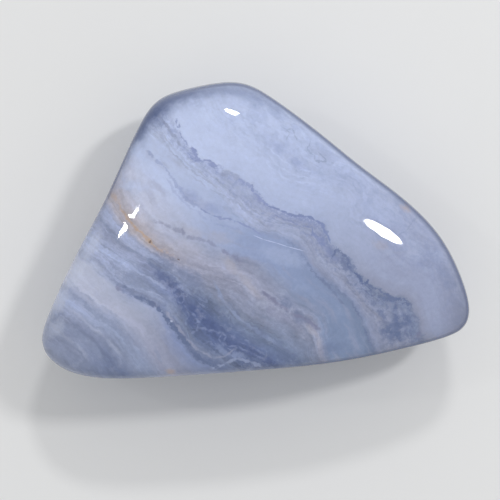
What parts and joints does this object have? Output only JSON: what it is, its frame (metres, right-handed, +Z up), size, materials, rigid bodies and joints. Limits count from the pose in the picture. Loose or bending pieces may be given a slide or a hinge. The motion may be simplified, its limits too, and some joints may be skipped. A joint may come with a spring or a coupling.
{
  "type": "tumbled chalcedony pebble",
  "caption": "Rounded three-cornered pebble of pale blue chalcedony with darker lace-edged bands, tumbled and polished; lies flat as an ornament or display stone.",
  "frame": {"origin": "below the middle of the stone, on the surface it rests on", "axes": "+X along the long bottom side of the rounded triangle, +Y toward its blunt top corner, +Z up from the resting flat"},
  "size_m": [0.0258, 0.0178, 0.0083],
  "materials": {
    "banded_chalcedony": "polished, waxy and slightly translucent"
  },
  "bodies": {
    "root": {"stone": "banded_chalcedony"}
  },
  "joints": []
}
